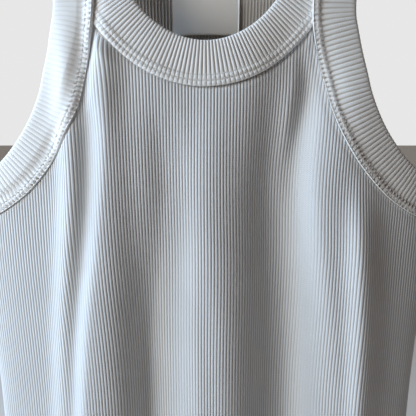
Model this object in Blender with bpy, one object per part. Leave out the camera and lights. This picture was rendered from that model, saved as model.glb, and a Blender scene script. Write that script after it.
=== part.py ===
"""A rib-knit tank top hung on a plain bar hanger, in metres with +Z up.

The origin is the highest point inside the hook, where a rail carries it. The front faces -Y.
The cloth follows one base surface: a flat tube that narrows towards the shoulders and passes
over the hanger's arms there. A place on it is given by an angle round the tube (0 at the centre
front or centre back, 90 degrees at a side seam) and by a level, in millimetres below the end of
the shoulder's turn. Panels, neckband and armbands are walls on that surface, with their ribs
raised in the outer points over a plain inside.
"""

import math

import bmesh
import bpy
import numpy as np

MM = 0.001

# Hanger, in millimetres
HOOK_INNER_RADIUS = 20
HOOK_ARC = (200, -40)  # degrees, from the tip over the top to where the wire swings back
HOOK_ARC_STEP = 12
HOOK_SWING = 12  # how far the wire keeps its heading below the arc
HOOK_NECK = (-46, -60)  # heights where the wire turns straight down
WIRE_RADIUS = 2
WIRE_SIDES = 8
BAR_AXIS_AT_CENTRE = -100.3
BAR_RADIUS = 6.5
BAR_SIDES = 12
BAR_POINTS = 27
BAR_HALF_LENGTH = 195
BAR_SLOPE = 0.30
BAR_CREST = 25  # how softly the two arms meet at the centre
HOOK_TO_BAR = 0.3

# Garment, in millimetres
NECK_HALF = 72
FRONT_NECK_DROP = 100.8
BACK_NECK_DROP = 32
BAND_WIDTH = 30.7
HEM_LEVEL = -590
CHEST_HALF = 176
SHOULDER_FLARE = 14  # how much wider the tube is at the shoulders
FLARE_START = -200
FLARE_REACH = 140
WAIST_TAPER = 6
WAIST_LEVEL = -400
WAIST_REACH = 110
STRAP_TURN = 8.6  # radius of the cloth's turn over the bar
FRONT_DEPTH = 33
BACK_DEPTH = 22
MEAN_DEPTH = 28
DEPTH_REACH = 110  # how soon the tube opens below the shoulders
SLOPE_REACH = 88  # how far below the shoulder its slope has faded out of the levels

# Cloth, in millimetres
PANEL_WALL = 1.2
PANEL_RIB = 0.7
BAND_WALL = 1.8
BAND_RIB = 0.8
SEAM_GAP = 0.5
ARM_SEAM_GAP = 0.9  # wider, because an armband leans where its seam crosses a fold
LABEL_WALL = 1.0
BODY_RIB_PITCH = 2.3
NECK_RIB_PITCH = 2.76
ARM_RIB_PITCH = 3.4
PANEL_ROWS = (0, 0.25, 0.5, 0.7, 0.87, 1)  # share of the height from hem to top edge
PANEL_TOP_LIMIT = -40  # above the panels' highest corners
INNER_TOLERANCE = 0.4  # how far the plain inside may stray from the base surface
EDGE_TOLERANCE = 0.1
MOST_TWIST = 0.3
LONGEST_SPAN = 4  # outer columns to one inner column, at most

LABEL_WIDTH = 51
LABEL_TOP = -58
LABEL_BOTTOM = -93
LABEL_COLUMNS = 7
LABEL_ROWS = 4

# Points used to measure the base surface
QUARTER_POINTS = 721
EDGE_POINTS = 281
TURN_POINTS = 39
SURVEY_ROWS = 221
SURVEY_COLUMNS = 1441

# The armhole seam from the shoulder towards the side: distance from the centre, level
ARMHOLE_SEAM = (
    (82.0, 0),
    (76.6, -40),
    (74.2, -66),
    (74.7, -89.5),
    (78.8, -107),
    (84.7, -127.5),
    (90.1, -146.5),
    (97.7, -164),
    (113.0, -188),
    (140.0, -215),
)
UNDERARM_LEVEL = -233  # the seam's lowest point, at the side seam

# Where the armband leaves the neckband it lies on and comes down to the panel: levels
FRONT_LIFT = (-92, -125)
BACK_LIFT = (-50, -85)

# Folds: distance of the crest from the centre at four levels, its reach to either side,
# its height (a trough's is negative) and the level where it starts
FOLD_LEVELS = (-590, -320, -190, -130)
FRONT_FOLDS = (
    # crest and height at hem, waist, chest and yoke; left reach, right reach, start
    ((0, 0, 0, 0), (0.0, 0.0, 3.0, 4.5), 55, 55, 20),
    ((-116, -108, -96, -96), (5.3, 7.1, 9.0, 5.8), 9, 10, -60),
    ((-99, -87, -70, -67), (8.2, 10.9, 9.3, 8.8), 12, 40, -25),
    ((-46, -49, -53, -57), (-5.6, -7.4, -4.5, -5.5), 14, 15, -78),
    ((-49, -40, -28, -35), (-6.9, -9.2, -7.3, -5.4), 15, 40, -99),
    ((-5, -9, -14, -25), (4.4, 5.9, 2.7, 3.8), 40, 13, -114),
    ((16, 11, 2, 3), (4.9, 6.5, 4.5, 4.0), 15, 18, -119),
    ((51, 51, 50, 61), (-10.5, -14.0, -14.0, -14.0), 17, 32, -74),
    ((66, 61, 54, 61), (-2.3, -3.0, 2.4, 12.6), 13, 9, -87),
    ((117, 102, 83, 87), (3.8, 5.1, 5.6, 5.9), 13, 40, -79),
    ((123, 119, 113, 116), (6.5, 8.7, 9.0, 9.0), 9, 14, -185),
)
BACK_FOLDS = (
    ((-92, -86, -80, -78), (5.0, 7.5, 7.0, 6.0), 15, 13, -60),
    ((-48, -52, -46, -40), (-3.0, -4.5, -4.0, -3.0), 18, 16, -80),
    ((4, -4, 3, 0), (3.5, 5.0, 4.5, 3.0), 26, 22, -90),
    ((56, 46, 50, 44), (-3.5, -5.0, -4.5, -3.0), 16, 18, -80),
    ((88, 90, 82, 79), (5.5, 8.0, 7.5, 6.5), 13, 16, -60),
    ((130, 126, 122, 118), (2.5, 4.0, 3.5, 2.0), 14, 15, -180),
)
FOLD_GROWTH = 75  # the length over which a fold reaches its full height
SIDE_FADE = 2.2  # how soon the folds rise away from the side seams

KNIT_COLOUR = (0.76, 0.75, 0.71)
TAPE_COLOUR = (0.62, 0.61, 0.60)
WOOD_COLOUR = (0.62, 0.47, 0.32)
WIRE_COLOUR = (0.75, 0.75, 0.76)


def smooth(t):
    t = np.clip(t, 0, 1)
    return t * t * (3 - 2 * t)


def spline(nodes, values, t):
    """A smooth curve through the values at the nodes, which rise."""
    nodes = np.asarray(nodes, float)
    values = np.asarray(values, float)
    slopes = np.gradient(values, nodes)
    t = np.clip(t, nodes[0], nodes[-1])
    i = np.clip(np.searchsorted(nodes, t) - 1, 0, len(nodes) - 2)
    step = nodes[i + 1] - nodes[i]
    s = (t - nodes[i]) / step
    rise = s * s * (3 - 2 * s)
    return (
        values[i] * (1 - rise)
        + values[i + 1] * rise
        + step * s * (1 - s) * (slopes[i] * (1 - s) - slopes[i + 1] * s)
    )


# ---------------------------------------------------------------- base surface


def bar_drop(x):
    """How far the bar's axis, and the shoulder line with it, lies below its height at the centre."""
    return BAR_SLOPE * (np.sqrt(x * x + BAR_CREST**2) - BAR_CREST)


SHOULDER_LEVEL = BAR_AXIS_AT_CENTRE - float(bar_drop(np.float64(NECK_HALF)))


def half_width(level):
    flare = SHOULDER_FLARE * smooth((level - FLARE_START) / FLARE_REACH)
    waist = WAIST_TAPER * np.exp(-(((level - WAIST_LEVEL) / WAIST_REACH) ** 2))
    return CHEST_HALF + flare - waist


def half_depth(level, back):
    full = np.where(back, BACK_DEPTH, FRONT_DEPTH) - STRAP_TURN
    return STRAP_TURN + full * (1 - 1 / (1 + (level / DEPTH_REACH) ** 2))


def fold_height(x, level, folds):
    total = np.zeros(np.broadcast(x, level).shape)
    for crests, heights, left, right, start in folds:
        offset = x - spline(FOLD_LEVELS, crests, level)
        reach = np.where(offset < 0, left, right)
        growth = smooth((start - level) / FOLD_GROWTH)
        height = spline(FOLD_LEVELS, heights, level)
        total += height * growth * np.exp(-((offset / reach) ** 2))
    return total


def sheet_point(angle, level, back):
    """A point of the base surface below the shoulder's turn, in millimetres."""
    x = half_width(level) * np.sin(angle)
    folds = np.where(
        back, fold_height(x, level, BACK_FOLDS), fold_height(x, level, FRONT_FOLDS)
    )
    outward = half_depth(level, back) * np.cos(angle)
    outward = outward + folds * smooth(SIDE_FADE * np.cos(angle))
    near_shoulder = smooth(1 + level / SLOPE_REACH)
    slope = bar_drop(x) - bar_drop(np.float64(NECK_HALF))
    z = SHOULDER_LEVEL - slope * near_shoulder + level
    return np.stack([x, np.where(back, outward, -outward), z], -1)


def turn_point(angle, turn):
    """A point where the cloth passes over the bar: turn is -90 degrees at the front, 90 behind."""
    x = half_width(0.0) * np.sin(angle)
    radius = STRAP_TURN * np.cos(angle)
    slope = bar_drop(x) - bar_drop(np.float64(NECK_HALF))
    z = SHOULDER_LEVEL - slope + radius * np.cos(turn)
    return np.stack([x, radius * np.sin(turn), z], -1)


QUARTER = np.linspace(0, math.pi / 2, QUARTER_POINTS)


def quarter_length():
    """Length along the plain tube from the centre to each angle, for a tube of unit half width."""
    flatness = MEAN_DEPTH / CHEST_HALF
    steps = np.hypot(np.cos(QUARTER), flatness * np.sin(QUARTER))
    mean = (steps[1:] + steps[:-1]) / 2 * np.diff(QUARTER)
    return np.concatenate([[0], np.cumsum(mean)])


QUARTER_LENGTH = quarter_length()


def angle_at(distance, level):
    """The angle of a place this far from the centre, measured along the tube."""
    share = np.abs(distance) / half_width(level)
    return np.sign(distance) * np.interp(share, QUARTER_LENGTH, QUARTER)


def distance_at(angle, level):
    return np.sign(angle) * half_width(level) * np.interp(
        np.abs(angle), QUARTER, QUARTER_LENGTH
    )


# ------------------------------------------------------------------ seam lines


def neck_edge(drop, out):
    """Half of the neck's edge, moved outwards: distance from the centre and level, from the
    lowest point to the shoulder."""
    t = np.linspace(0, math.pi / 2, EDGE_POINTS)
    x = NECK_HALF * np.sin(t)
    level = -drop * np.cos(t)
    normal_x = np.sin(t) / NECK_HALF
    normal_z = -np.cos(t) / drop
    size = np.hypot(normal_x, normal_z)
    return np.stack([x + out * normal_x / size, level + out * normal_z / size], -1)


def armhole_edge(out):
    """The armhole seam moved towards the arm: distance from the centre and level, from the
    shoulder to the side seam. It runs on smoothly into its mirror image at both ends."""
    side = CHEST_HALF * QUARTER_LENGTH[-1]
    table = np.array(ARMHOLE_SEAM + ((side, UNDERARM_LEVEL),), float)
    above = (table[1, 0], -table[1, 1])
    beyond = (2 * side - table[-2, 0], table[-2, 1])
    table = np.vstack([above, table, beyond])
    run = np.concatenate([[0], np.cumsum(np.hypot(*np.diff(table, axis=0).T))])
    t = np.linspace(run[1], run[-2], EDGE_POINTS)
    path = np.stack([spline(run, table[:, 0], t), spline(run, table[:, 1], t)], -1)
    along = np.gradient(path, axis=0)
    along[0] = (0, -1)
    along[-1] = (1, 0)
    along /= np.linalg.norm(along, axis=1)[:, None]
    towards_arm = np.stack([-along[:, 1], along[:, 0]], -1)
    return path + out * towards_arm


def panel_top(distance, neck_drop):
    """The level of the panel's top edge at each distance from the centre."""
    neck = neck_edge(neck_drop, BAND_WIDTH + SEAM_GAP)
    arm = armhole_edge(-ARM_SEAM_GAP)
    lowest_in = np.argmin(arm[:, 0])
    arm = arm[lowest_in:]
    away = np.abs(distance)
    neck_level = np.interp(away, neck[:, 0], neck[:, 1])
    arm_level = np.interp(away, arm[:, 0], arm[:, 1], left=0)
    return np.minimum(neck_level, arm_level)


# ----------------------------------------------------------------------- walls


def surface_normals(points, closed):
    """Outward normals of a grid of base points, rows by columns."""
    across = (
        (np.roll(points, -1, 1) - np.roll(points, 1, 1))
        if closed
        else np.gradient(points, axis=1)
    )
    up = np.gradient(points, axis=0)
    normals = np.cross(across, up)
    return normals / np.linalg.norm(normals, axis=-1)[..., None]


def kept_columns(points, normals, tolerances, closed):
    """The columns that the plain inside keeps, so that no base point of a row strays further
    from the chord between them than that row's tolerance, and no inner face twists out of the
    surface by more than MOST_TWIST."""
    count = points.shape[1]
    last = count if closed else count - 1
    kept = [0]
    while kept[-1] < last:
        start = kept[-1]
        end = start + 1
        while end < last and end - start < LONGEST_SPAN:
            a = points[:, start][:, None]
            b = points[:, (end + 1) % count][:, None]
            middle = points[:, start + 1 : end + 1]
            chord = (b - a) / np.linalg.norm(b - a, axis=-1)[..., None]
            off = np.linalg.norm(np.cross(middle - a, chord), axis=-1).max(1)
            turn = np.diff((b - a)[:, 0], axis=0)
            twist = np.abs((turn * normals[1:, start]).sum(-1)) / 4
            if (off > tolerances).any() or (twist > MOST_TWIST).any():
                break
            end += 1
        kept.append(end)
    return kept[:-1] if closed else kept


def wall_object(name, outer, inner, kept, closed, material):
    """A closed wall between a fine outer grid and an inner grid of fewer columns."""
    rows, columns = outer.shape[:2]
    inner_columns = len(kept)
    outer_count = rows * columns

    def out(r, c):
        return r * columns + c % columns

    def ins(r, k):
        return outer_count + r * inner_columns + k % inner_columns

    ends = kept[1:] + [columns] if closed else kept[1:]
    spans = [(k, start, end) for k, (start, end) in enumerate(zip(kept, ends))]
    faces = []
    for r in range(rows - 1):
        for c in range(columns if closed else columns - 1):
            faces.append((out(r, c), out(r, c + 1), out(r + 1, c + 1), out(r + 1, c)))
        for k, _, _ in spans:
            faces.append((ins(r, k), ins(r + 1, k), ins(r + 1, k + 1), ins(r, k + 1)))
        if not closed:
            for c, k in ((0, 0), (columns - 1, inner_columns - 1)):
                faces.append((out(r, c), out(r + 1, c), ins(r + 1, k), ins(r, k)))
    for r in (0, rows - 1):
        for k, start, end in spans:
            middle = (start + end) // 2
            faces.append((out(r, middle), ins(r, k), ins(r, k + 1)))
            for c in range(start, end):
                near = k if c < middle else k + 1
                faces.append((out(r, c), out(r, c + 1), ins(r, near)))
    mesh = bpy.data.meshes.new(name)
    points = np.concatenate([outer.reshape(-1, 3), inner.reshape(-1, 3)]) * MM
    mesh.from_pydata(points.tolist(), [], faces)
    work = bmesh.new()
    work.from_mesh(mesh)
    bmesh.ops.recalc_face_normals(work, faces=work.faces)
    work.to_mesh(mesh)
    work.free()
    mesh.materials.append(material)
    return bpy.data.objects.new(name, mesh)


def ribbed(points, normals, wall, rib, lift=0.0):
    """The outer points: every second column is a rib's crest."""
    crest = np.arange(points.shape[1]) % 2
    return points + normals * (lift + wall + rib * crest)[..., None]


# ---------------------------------------------------------------------- pieces


def panel(name, back, material):
    """A front or back: each column of points is a rib's crest or groove, from hem to top edge."""
    drop = BACK_NECK_DROP if back else FRONT_NECK_DROP
    levels = np.linspace(HEM_LEVEL, PANEL_TOP_LIMIT, SURVEY_ROWS)
    angles = np.linspace(-math.pi / 2, math.pi / 2, SURVEY_COLUMNS)
    grid = sheet_point(angles[None], levels[:, None], np.array(back))
    steps = np.linalg.norm(np.diff(grid[..., :2], axis=1), axis=-1)
    run = np.concatenate([np.zeros((len(levels), 1)), np.cumsum(steps, 1)], 1)
    run -= run[:, [SURVEY_COLUMNS // 2]]
    girth = run[0, -1] - run[0, 0]
    columns = 2 * round(girth / BODY_RIB_PITCH) + 1
    share = np.linspace(-1, 1, columns)
    column_angle = np.empty((len(levels), columns))
    for i in range(len(levels)):
        left, right = -run[i, 0] - SEAM_GAP / 2, run[i, -1] - SEAM_GAP / 2
        place = np.where(share < 0, share * left, share * right)
        column_angle[i] = np.interp(place, run[i], angles)
    room = panel_top(distance_at(column_angle, levels[:, None]), drop) - levels[:, None]
    tops = np.empty(columns)
    for c in range(columns):
        i = int(np.argmax(room[:, c] < 0))
        part = room[i - 1, c] / (room[i - 1, c] - room[i, c])
        tops[c] = levels[i - 1] + part * (levels[i] - levels[i - 1])
    rows = np.array(PANEL_ROWS)[:, None]
    level = HEM_LEVEL + rows * (tops - HEM_LEVEL)
    angle = np.empty_like(level)
    for c in range(columns):
        angle[:, c] = np.interp(level[:, c], levels, column_angle[:, c])
    normals = sheet_normals(angle, level, back)
    points = sheet_point(angle, level, np.array(back))
    tolerances = np.array([INNER_TOLERANCE] * (len(rows) - 1) + [EDGE_TOLERANCE])
    kept = kept_columns(points, normals, tolerances, closed=False)
    outer = ribbed(points, normals, PANEL_WALL, PANEL_RIB)
    return wall_object(name, outer, points[:, kept], kept, False, material)


def sheet_normals(angle, level, back):
    """Outward normals at places below the shoulder's turn."""
    small_angle, small_level = 0.002, 0.5
    side = np.array(back)
    across = sheet_point(angle + small_angle, level, side) - sheet_point(
        angle - small_angle, level, side
    )
    up = sheet_point(angle, level + small_level, side) - sheet_point(
        angle, level - small_level, side
    )
    normals = np.cross(up, across) if back else np.cross(across, up)
    return normals / np.linalg.norm(normals, axis=-1)[..., None]


def ring_columns(lines, pitch):
    """Base points of a band's two edges, evenly spaced round the ring with two columns a rib."""
    middle = (lines[0] + lines[1]) / 2
    steps = np.linalg.norm(np.roll(middle, -1, 0) - middle, axis=1)
    run = np.concatenate([[0], np.cumsum(steps)])
    columns = 2 * round(run[-1] / pitch)
    place = np.arange(columns) / columns * run[-1]
    spaced = []
    for line in lines:
        loop = np.concatenate([line, line[:1]])
        spaced.append(
            np.stack([np.interp(place, run, loop[:, i]) for i in range(3)], -1)
        )
    return np.stack(spaced)


def sheet_line(path, back):
    """The base points along a path given as distances from the centre and levels."""
    angle = angle_at(path[:, 0], path[:, 1])
    return sheet_point(angle, path[:, 1], np.array(back))


def turn_line(distance, from_front):
    """The base points of the turn over the bar at one distance from the centre."""
    turns = np.linspace(-math.pi / 2, math.pi / 2, TURN_POINTS + 2)[1:-1]
    if not from_front:
        turns = turns[::-1]
    angle = angle_at(np.full(len(turns), float(distance)), 0.0)
    return turn_point(angle, turns)


def mirrored(path):
    return path * np.array([-1, 1])


def neckband(material):
    """The ring round the neck, from the left shoulder down the front and up the back."""
    lines = []
    for out in (0, BAND_WIDTH):
        front = neck_edge(FRONT_NECK_DROP, out)
        back = neck_edge(BACK_NECK_DROP, out)
        lines.append(
            np.concatenate(
                [
                    sheet_line(mirrored(front)[::-1], False),
                    sheet_line(front[1:], False),
                    turn_line(NECK_HALF + out, True),
                    sheet_line(back[::-1], True),
                    sheet_line(mirrored(back)[1:], True),
                    turn_line(-NECK_HALF - out, False),
                ]
            )
        )
    points = ring_columns(lines, NECK_RIB_PITCH)[::-1]
    normals = surface_normals(points, closed=True)
    kept = kept_columns(points, normals, np.full(2, EDGE_TOLERANCE), closed=True)
    outer = ribbed(points, normals, BAND_WALL, BAND_RIB)
    return wall_object("neckband", outer, points[:, kept], kept, True, material)


def armband(name, side, material):
    """The ring round an armhole, from the side seam up the front, over the bar and down behind.
    At the strap it lies on the neckband."""
    lines = []
    for out in (0, BAND_WIDTH):
        path = armhole_edge(out) * np.array([side, 1])
        lines.append(
            np.concatenate(
                [
                    sheet_line(path[::-1], False),
                    turn_line(path[0, 0], True),
                    sheet_line(path[:-1], True),
                ]
            )
        )
    points = ring_columns(lines, ARM_RIB_PITCH)
    seam = points[0]
    if side > 0:
        points = points[::-1]
    normals = surface_normals(points, closed=True)
    level = seam[:, 2] - SHOULDER_LEVEL
    behind = seam[:, 1] > 0
    from_level = np.where(behind, BACK_LIFT[0], FRONT_LIFT[0])
    to_level = np.where(behind, BACK_LIFT[1], FRONT_LIFT[1])
    share = smooth((level - to_level) / (from_level - to_level))
    lift = (BAND_WALL + BAND_RIB + SEAM_GAP) * share
    kept = kept_columns(points, normals, np.full(2, EDGE_TOLERANCE), closed=True)
    inner = (points + normals * lift[:, None])[:, kept]
    outer = ribbed(points, normals, BAND_WALL, BAND_RIB, lift)
    return wall_object(name, outer, inner, kept, True, material)


def label(material):
    """A blank rectangle of tape inside the back, hanging from the neckband's seam."""
    columns = np.linspace(-LABEL_WIDTH / 2, LABEL_WIDTH / 2, LABEL_COLUMNS)
    rows = np.linspace(LABEL_BOTTOM, LABEL_TOP, LABEL_ROWS)
    distance, level = np.meshgrid(columns, rows)
    angle = angle_at(distance, level)
    points = sheet_point(angle, level, np.array(True))
    normals = sheet_normals(angle, level, True)
    near = points - normals * SEAM_GAP
    far = near - normals * LABEL_WALL
    return wall_object("label", near, far, list(range(LABEL_COLUMNS)), False, material)


# ---------------------------------------------------------------------- hanger


def tube_object(name, path, radius, sides, material):
    curve = bpy.data.curves.new(name, "CURVE")
    curve.dimensions = "3D"
    curve.bevel_depth = radius * MM
    curve.bevel_resolution = (sides - 4) // 2
    curve.use_fill_caps = True
    line = curve.splines.new("POLY")
    line.points.add(len(path) - 1)
    for point, (x, z) in zip(line.points, path):
        point.co = (x * MM, 0, z * MM, 1)
    curve.materials.append(material)
    return bpy.data.objects.new(name, curve)


def hanger_bar(material):
    x = np.linspace(-BAR_HALF_LENGTH, BAR_HALF_LENGTH, BAR_POINTS)
    z = BAR_AXIS_AT_CENTRE - bar_drop(x)
    path = np.stack([x, z], -1)
    return tube_object("hanger_bar", path, BAR_RADIUS, BAR_SIDES, material)


def hanger_hook(material):
    """A wire that rises from the bar, swings out and curls over the rail."""
    radius = HOOK_INNER_RADIUS + WIRE_RADIUS
    tip, swing = HOOK_ARC
    turns = np.radians(np.arange(tip, swing - 1, -HOOK_ARC_STEP))
    arc = np.stack([radius * np.cos(turns), radius * np.sin(turns)], -1)
    arc[:, 1] -= HOOK_INNER_RADIUS
    heading = np.array([np.sin(turns[-1]), -np.cos(turns[-1])])
    bend, straight = HOOK_NECK
    a, b, c, d = arc[-1], arc[-1] + HOOK_SWING * heading, (0, bend), (0, straight)
    t = np.linspace(0, 1, 8)[1:, None]
    neck = (
        (1 - t) ** 3 * a
        + 3 * (1 - t) ** 2 * t * b
        + 3 * (1 - t) * t**2 * np.array(c)
        + t**3 * np.array(d)
    )
    stem = (0, BAR_AXIS_AT_CENTRE + BAR_RADIUS + HOOK_TO_BAR)
    path = np.concatenate([arc, neck, [stem]])
    return tube_object("hanger_hook", path, WIRE_RADIUS, WIRE_SIDES, material)


# ----------------------------------------------------------------------- model


def material(name, colour, roughness, metallic=0.0):
    made = bpy.data.materials.new(name)
    made.use_nodes = True
    shader = made.node_tree.nodes["Principled BSDF"]
    shader.inputs["Base Color"].default_value = (*colour, 1)
    shader.inputs["Roughness"].default_value = roughness
    shader.inputs["Metallic"].default_value = metallic
    return made


def main():
    for old in list(bpy.data.objects):
        bpy.data.objects.remove(old)
    group = bpy.data.collections.new("tank_top_on_hanger")
    bpy.context.scene.collection.children.link(group)
    pieces = [
        panel("front_panel", False, material("front_knit", KNIT_COLOUR, 0.9)),
        panel("back_panel", True, material("back_knit", KNIT_COLOUR, 0.9)),
        neckband(material("neckband_knit", KNIT_COLOUR, 0.9)),
        armband("armband_right", 1, material("right_armband_knit", KNIT_COLOUR, 0.9)),
        armband("armband_left", -1, material("left_armband_knit", KNIT_COLOUR, 0.9)),
        label(material("label_tape", TAPE_COLOUR, 0.6)),
        hanger_bar(material("hanger_wood", WOOD_COLOUR, 0.5)),
        hanger_hook(material("hook_metal", WIRE_COLOUR, 0.25, 1.0)),
    ]
    for piece in pieces:
        group.objects.link(piece)


main()
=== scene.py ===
"""The looks of a rib-knit tank top that hangs on a bar hanger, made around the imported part.

The cloth follows the same base surface as the part: a flat tube that narrows towards the
shoulders and passes over the hanger's arms there. A place on it is given by an angle round the
tube (0 at the centre front or centre back, 90 degrees at a side seam) and by a level, which is
0 at the end of the shoulder's turn and negative below it. Lengths are in millimetres until a
mesh is made.
"""

import math

import bpy
import numpy as np
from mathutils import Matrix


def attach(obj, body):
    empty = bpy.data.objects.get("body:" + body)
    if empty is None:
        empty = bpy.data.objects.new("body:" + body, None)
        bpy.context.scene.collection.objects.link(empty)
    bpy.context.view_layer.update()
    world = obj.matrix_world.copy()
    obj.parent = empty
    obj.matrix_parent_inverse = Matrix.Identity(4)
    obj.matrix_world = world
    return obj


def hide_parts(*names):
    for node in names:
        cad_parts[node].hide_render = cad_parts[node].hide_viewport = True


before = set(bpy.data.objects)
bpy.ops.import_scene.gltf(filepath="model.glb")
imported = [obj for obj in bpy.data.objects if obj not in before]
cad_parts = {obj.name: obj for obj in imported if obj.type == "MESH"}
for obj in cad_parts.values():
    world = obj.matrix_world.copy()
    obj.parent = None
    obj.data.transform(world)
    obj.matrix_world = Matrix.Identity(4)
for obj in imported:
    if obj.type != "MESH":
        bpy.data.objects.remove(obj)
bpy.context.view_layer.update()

MM = 0.001

# ---- sizes shared with the part

HOOK_INNER_RADIUS = 20
HOOK_ARC = (200, -40)
HOOK_SWING = 12
HOOK_NECK = (-46, -60)
WIRE_RADIUS = 2
BAR_AXIS_AT_CENTRE = -100.3
BAR_RADIUS = 6.5
BAR_HALF_LENGTH = 195
BAR_SLOPE = 0.30
BAR_CREST = 25

NECK_HALF = 72
FRONT_NECK_DROP = 100.8
BACK_NECK_DROP = 32
BAND_WIDTH = 30.7
HEM_LEVEL = -590
CHEST_HALF = 176
SHOULDER_FLARE = 14
FLARE_START = -200
FLARE_REACH = 140
WAIST_TAPER = 6
WAIST_LEVEL = -400
WAIST_REACH = 110
STRAP_TURN = 8.6
FRONT_DEPTH = 33
BACK_DEPTH = 22
MEAN_DEPTH = 28
DEPTH_REACH = 110
SLOPE_REACH = 88

BODY_RIB_PITCH = 2.3
NECK_RIB_PITCH = 2.76
ARM_RIB_PITCH = 3.4
BAND_LIFT = 3.0  # the armband over the neckband

LABEL_WIDTH = 51
LABEL_TOP = -58
LABEL_BOTTOM = -93
LABEL_STANDS_OFF = 2.8  # at the middle of its lower edge

ARMHOLE_SEAM = (
    # distance from the centre, level
    (82.0, 0), (76.6, -40), (74.2, -66), (74.7, -89.5), (78.8, -107),
    (84.7, -127.5), (90.1, -146.5), (97.7, -164), (113.0, -188), (140.0, -215),
)
UNDERARM_LEVEL = -233
FRONT_LIFT = (-92, -125)
BACK_LIFT = (-50, -85)

FOLD_LEVELS = (-590, -320, -190, -130)
FRONT_FOLDS = (
    # crest and height at hem, waist, chest and yoke; left reach, right reach, start
    ((0, 0, 0, 0), (0.0, 0.0, 3.0, 4.5), 55, 55, 20),
    ((-116, -108, -96, -96), (5.3, 7.1, 9.0, 5.8), 9, 10, -60),
    ((-99, -87, -70, -67), (8.2, 10.9, 9.3, 8.8), 12, 40, -25),
    ((-46, -49, -53, -57), (-5.6, -7.4, -4.5, -5.5), 14, 15, -78),
    ((-49, -40, -28, -35), (-6.9, -9.2, -7.3, -5.4), 15, 40, -99),
    ((-5, -9, -14, -25), (4.4, 5.9, 2.7, 3.8), 40, 13, -114),
    ((16, 11, 2, 3), (4.9, 6.5, 4.5, 4.0), 15, 18, -119),
    ((51, 51, 50, 61), (-10.5, -14.0, -14.0, -14.0), 17, 32, -74),
    ((66, 61, 54, 61), (-2.3, -3.0, 2.4, 12.6), 13, 9, -87),
    ((117, 102, 83, 87), (3.8, 5.1, 5.6, 5.9), 13, 40, -79),
    ((123, 119, 113, 116), (6.5, 8.7, 9.0, 9.0), 9, 14, -185),
)
BACK_FOLDS = (
    ((-92, -86, -80, -78), (5.0, 7.5, 7.0, 6.0), 15, 13, -60),
    ((-48, -52, -46, -40), (-3.0, -4.5, -4.0, -3.0), 18, 16, -80),
    ((4, -4, 3, 0), (3.5, 5.0, 4.5, 3.0), 26, 22, -90),
    ((56, 46, 50, 44), (-3.5, -5.0, -4.5, -3.0), 16, 18, -80),
    ((88, 90, 82, 79), (5.5, 8.0, 7.5, 6.5), 13, 16, -60),
    ((130, 126, 122, 118), (2.5, 4.0, 3.5, 2.0), 14, 15, -180),
)
FOLD_GROWTH = 75
SIDE_FADE = 2.2

# ---- sizes of the looks

# Panels: height of the outside over the base surface at a crest and in a groove, and of the
# inside, whose ribs are the outside's grooves
PANEL_CREST = 1.8
PANEL_GROOVE = 1.28
PANEL_INSIDE = (0.45, 0.1)
PANEL_PRESSED = (0.35, 0.0)  # crest and groove beside a seam
INSIDE_PRESSED = 0.8  # how far the inside sinks there
PRESS_REACH = 2.4
SIDE_PRESS_REACH = 2.5
PANEL_UNEVEN = (0.12, 34)  # height and length of the cloth's unevenness
INSIDE_PAINTED_SHADE = (0.15, 0.35)  # painted shade on the inside: how light its grooves are, and what its crests add
LAP = 4.0  # how far a panel runs on under a band

# The front's dip along the neckband: its depth, its reach from the band, how far it keeps off
# the armbands, and where across the front it starts and is full
NECK_GAP = 1.3
NECK_GAP_REACH = 5.0
NECK_GAP_OFF_ARM = 4
NECK_GAP_START, NECK_GAP_FULL = -40, 15

# The front's rise beside the armbands: the levels between which it starts, the distance from
# any band over which it grows, and on either side its height, the width of its step beside the
# armband, on the left where it starts to fall, and over what length it falls
RISE_LEVELS = (-175, -130)
RISE_REACH = 10
LEFT_RISE, LEFT_CONTACT, LEFT_CREST, LEFT_REACH = 2.3, 1.1, 7, 26
LEFT_GAIN = 0.1  # the share of the left rise that comes between that step and the fall
LEFT_SWELL = (-75, 6, 0.7)  # a swell on that: distance from the centre, reach, height
RIGHT_RISE, RIGHT_CONTACT, RIGHT_REACH = 1.4, 0.5, 13

# Where a fold stretches the ribs flat: distance from the centre at the folds' four levels,
# reach to either side, the share of their depth that the ribs lose, and where it starts
FRONT_STRETCH = (
    ((-115, -95, -83, -78), 8, 12, 0.72, -100),
    ((90, 79, 74, 76), 8.5, 11, 0.92, -110),
    ((-18, -16, -14, -12), 8, 8, 0.60, -200),
)
BACK_STRETCH = (
    ((-104, -98, -92, -88), 12, 10, 0.75, -80),
    ((76, 78, 70, 68), 10, 12, 0.75, -80),
    ((-20, -26, -18, -20), 9, 9, 0.40, -160),
)
ARM_STRETCH = (0.45, 2, 4)  # beside the left armband: share, width, and how far it fades

# A body rib's columns, as shares of its pitch, and how high each stands
RIB_STEPS = (0, 0.13, 0.29, 0.5, 0.71, 0.87)
RIB_SWELL = (0, 0.58, 0.92, 1, 0.92, 0.58)
RIB_SWAY = (0.45, 150)  # how far the ribs wander aside, and over what length
RIB_SWAY_GROWTH = 20  # how fast that grows from a side seam, where they run straight
SWAY_SEED, UNEVEN_SEED = 11, 21  # of the front; the back's are the next ones

# Where the ribs are laid out: the highest level, and how many levels and angles
SURVEY_TOP, SURVEY_LEVELS, SURVEY_ANGLES = -40, 221, 1441

# Rows of a panel: over the hem's edge, then BODY_ROWS that close up, then below the top edge;
# and the inside's, over the hem's edge and then INSIDE_ROWS from INSIDE_START up
HEM_STEPS = (0, 0.5, 1.5, 4, 9, 14.2, 15.0, 15.5, 16.0, 16.8, 18.4, 18.9, 19.3, 19.8, 20.6)
BODY_ROWS, BODY_CLOSING = 46, 0.35
TOP_STEPS = (37, 30.5, 25, 21, 17.5, 14.5, 12, 9.8, 7.8, 6.2, 5, 4, 2.5, 0)
INSIDE_STEPS = (0.3, 2, 19, 22)
INSIDE_START = 26
INSIDE_ROWS, INSIDE_CLOSING = 18, 0.4

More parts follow.
